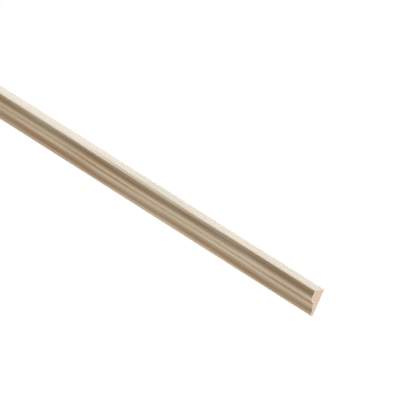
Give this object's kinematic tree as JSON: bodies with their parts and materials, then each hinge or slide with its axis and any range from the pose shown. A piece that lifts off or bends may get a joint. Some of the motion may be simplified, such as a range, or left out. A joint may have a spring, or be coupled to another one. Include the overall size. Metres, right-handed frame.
{
  "type": "torus moulding",
  "caption": "Long stick of softwood moulding with a flat back, a round torus member along its thick edge, a quirk, and an ogee running out to a thin edge.",
  "frame": {"origin": "middle of the stick's length and width, on its flat back", "axes": "+X along the stick, +Y across it towards the thick edge, +Z out of the back towards the moulded face"},
  "size_m": [2.4, 0.02, 0.012],
  "materials": {
    "pine": "bare planed softwood, matte"
  },
  "bodies": {
    "root": {"moulding": "pine"}
  },
  "joints": []
}
